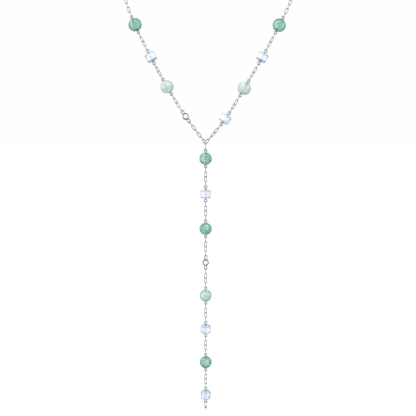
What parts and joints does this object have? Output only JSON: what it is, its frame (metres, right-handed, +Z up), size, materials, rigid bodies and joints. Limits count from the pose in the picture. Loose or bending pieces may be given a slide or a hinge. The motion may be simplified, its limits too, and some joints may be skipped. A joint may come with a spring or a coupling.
{
  "type": "y necklace",
  "caption": "Y necklace: fine silver cable chain with round green stone beads, pale crystal rondelles and small bezel-set stones, and a long straight drop.",
  "frame": {"origin": "the point of the clasp that rests on the nape of the neck", "axes": "+Z up, the drop hangs along -Z; the wearer looks along -Y; +X to the right for someone who faces the wearer"},
  "size_m": [0.1086, 0.1013, 0.2728],
  "materials": {
    "silver": "polished silver wire",
    "green_stone": "faceted translucent green stone, polished",
    "pale_green_stone": "faceted translucent pale green stone, polished",
    "ice_crystal": "cut crystal, faint blue",
    "clear_stone": "cut clear stone"
  },
  "bodies": {
    "root": {"back_left_chain": "silver", "back_right_chain": "silver", "clasp": "silver", "drop_chain": "silver", "drop_green_bead_1": "green_stone", "drop_green_bead_1_pin": "silver", "drop_green_bead_2": "green_stone", "drop_green_bead_2_pin": "silver", "drop_green_bead_3": "green_stone", "drop_green_bead_3_pin": "silver", "drop_pale_bead": "pale_green_stone", "drop_pale_bead_pin": "silver", "drop_rondelle_1": "ice_crystal", "drop_rondelle_1_pin": "silver", "drop_rondelle_2": "ice_crystal", "drop_rondelle_2_pin": "silver", "drop_rondelle_3": "ice_crystal", "drop_rondelle_3_pin": "silver", "drop_setting": "silver", "drop_setting_stone": "clear_stone", "end_ball": "silver", "junction_ring": "silver", "left_chain": "silver", "left_green_bead": "green_stone", "left_green_bead_pin": "silver", "left_pale_bead": "pale_green_stone", "left_pale_bead_pin": "silver", "left_rondelle": "ice_crystal", "left_rondelle_pin": "silver", "left_setting": "silver", "left_setting_stone": "clear_stone", "right_chain": "silver", "right_green_bead": "green_stone", "right_green_bead_pin": "silver", "right_lower_rondelle": "ice_crystal", "right_lower_rondelle_pin": "silver", "right_pale_bead": "pale_green_stone", "right_pale_bead_pin": "silver", "right_upper_rondelle": "ice_crystal", "right_upper_rondelle_pin": "silver"}
  },
  "joints": []
}
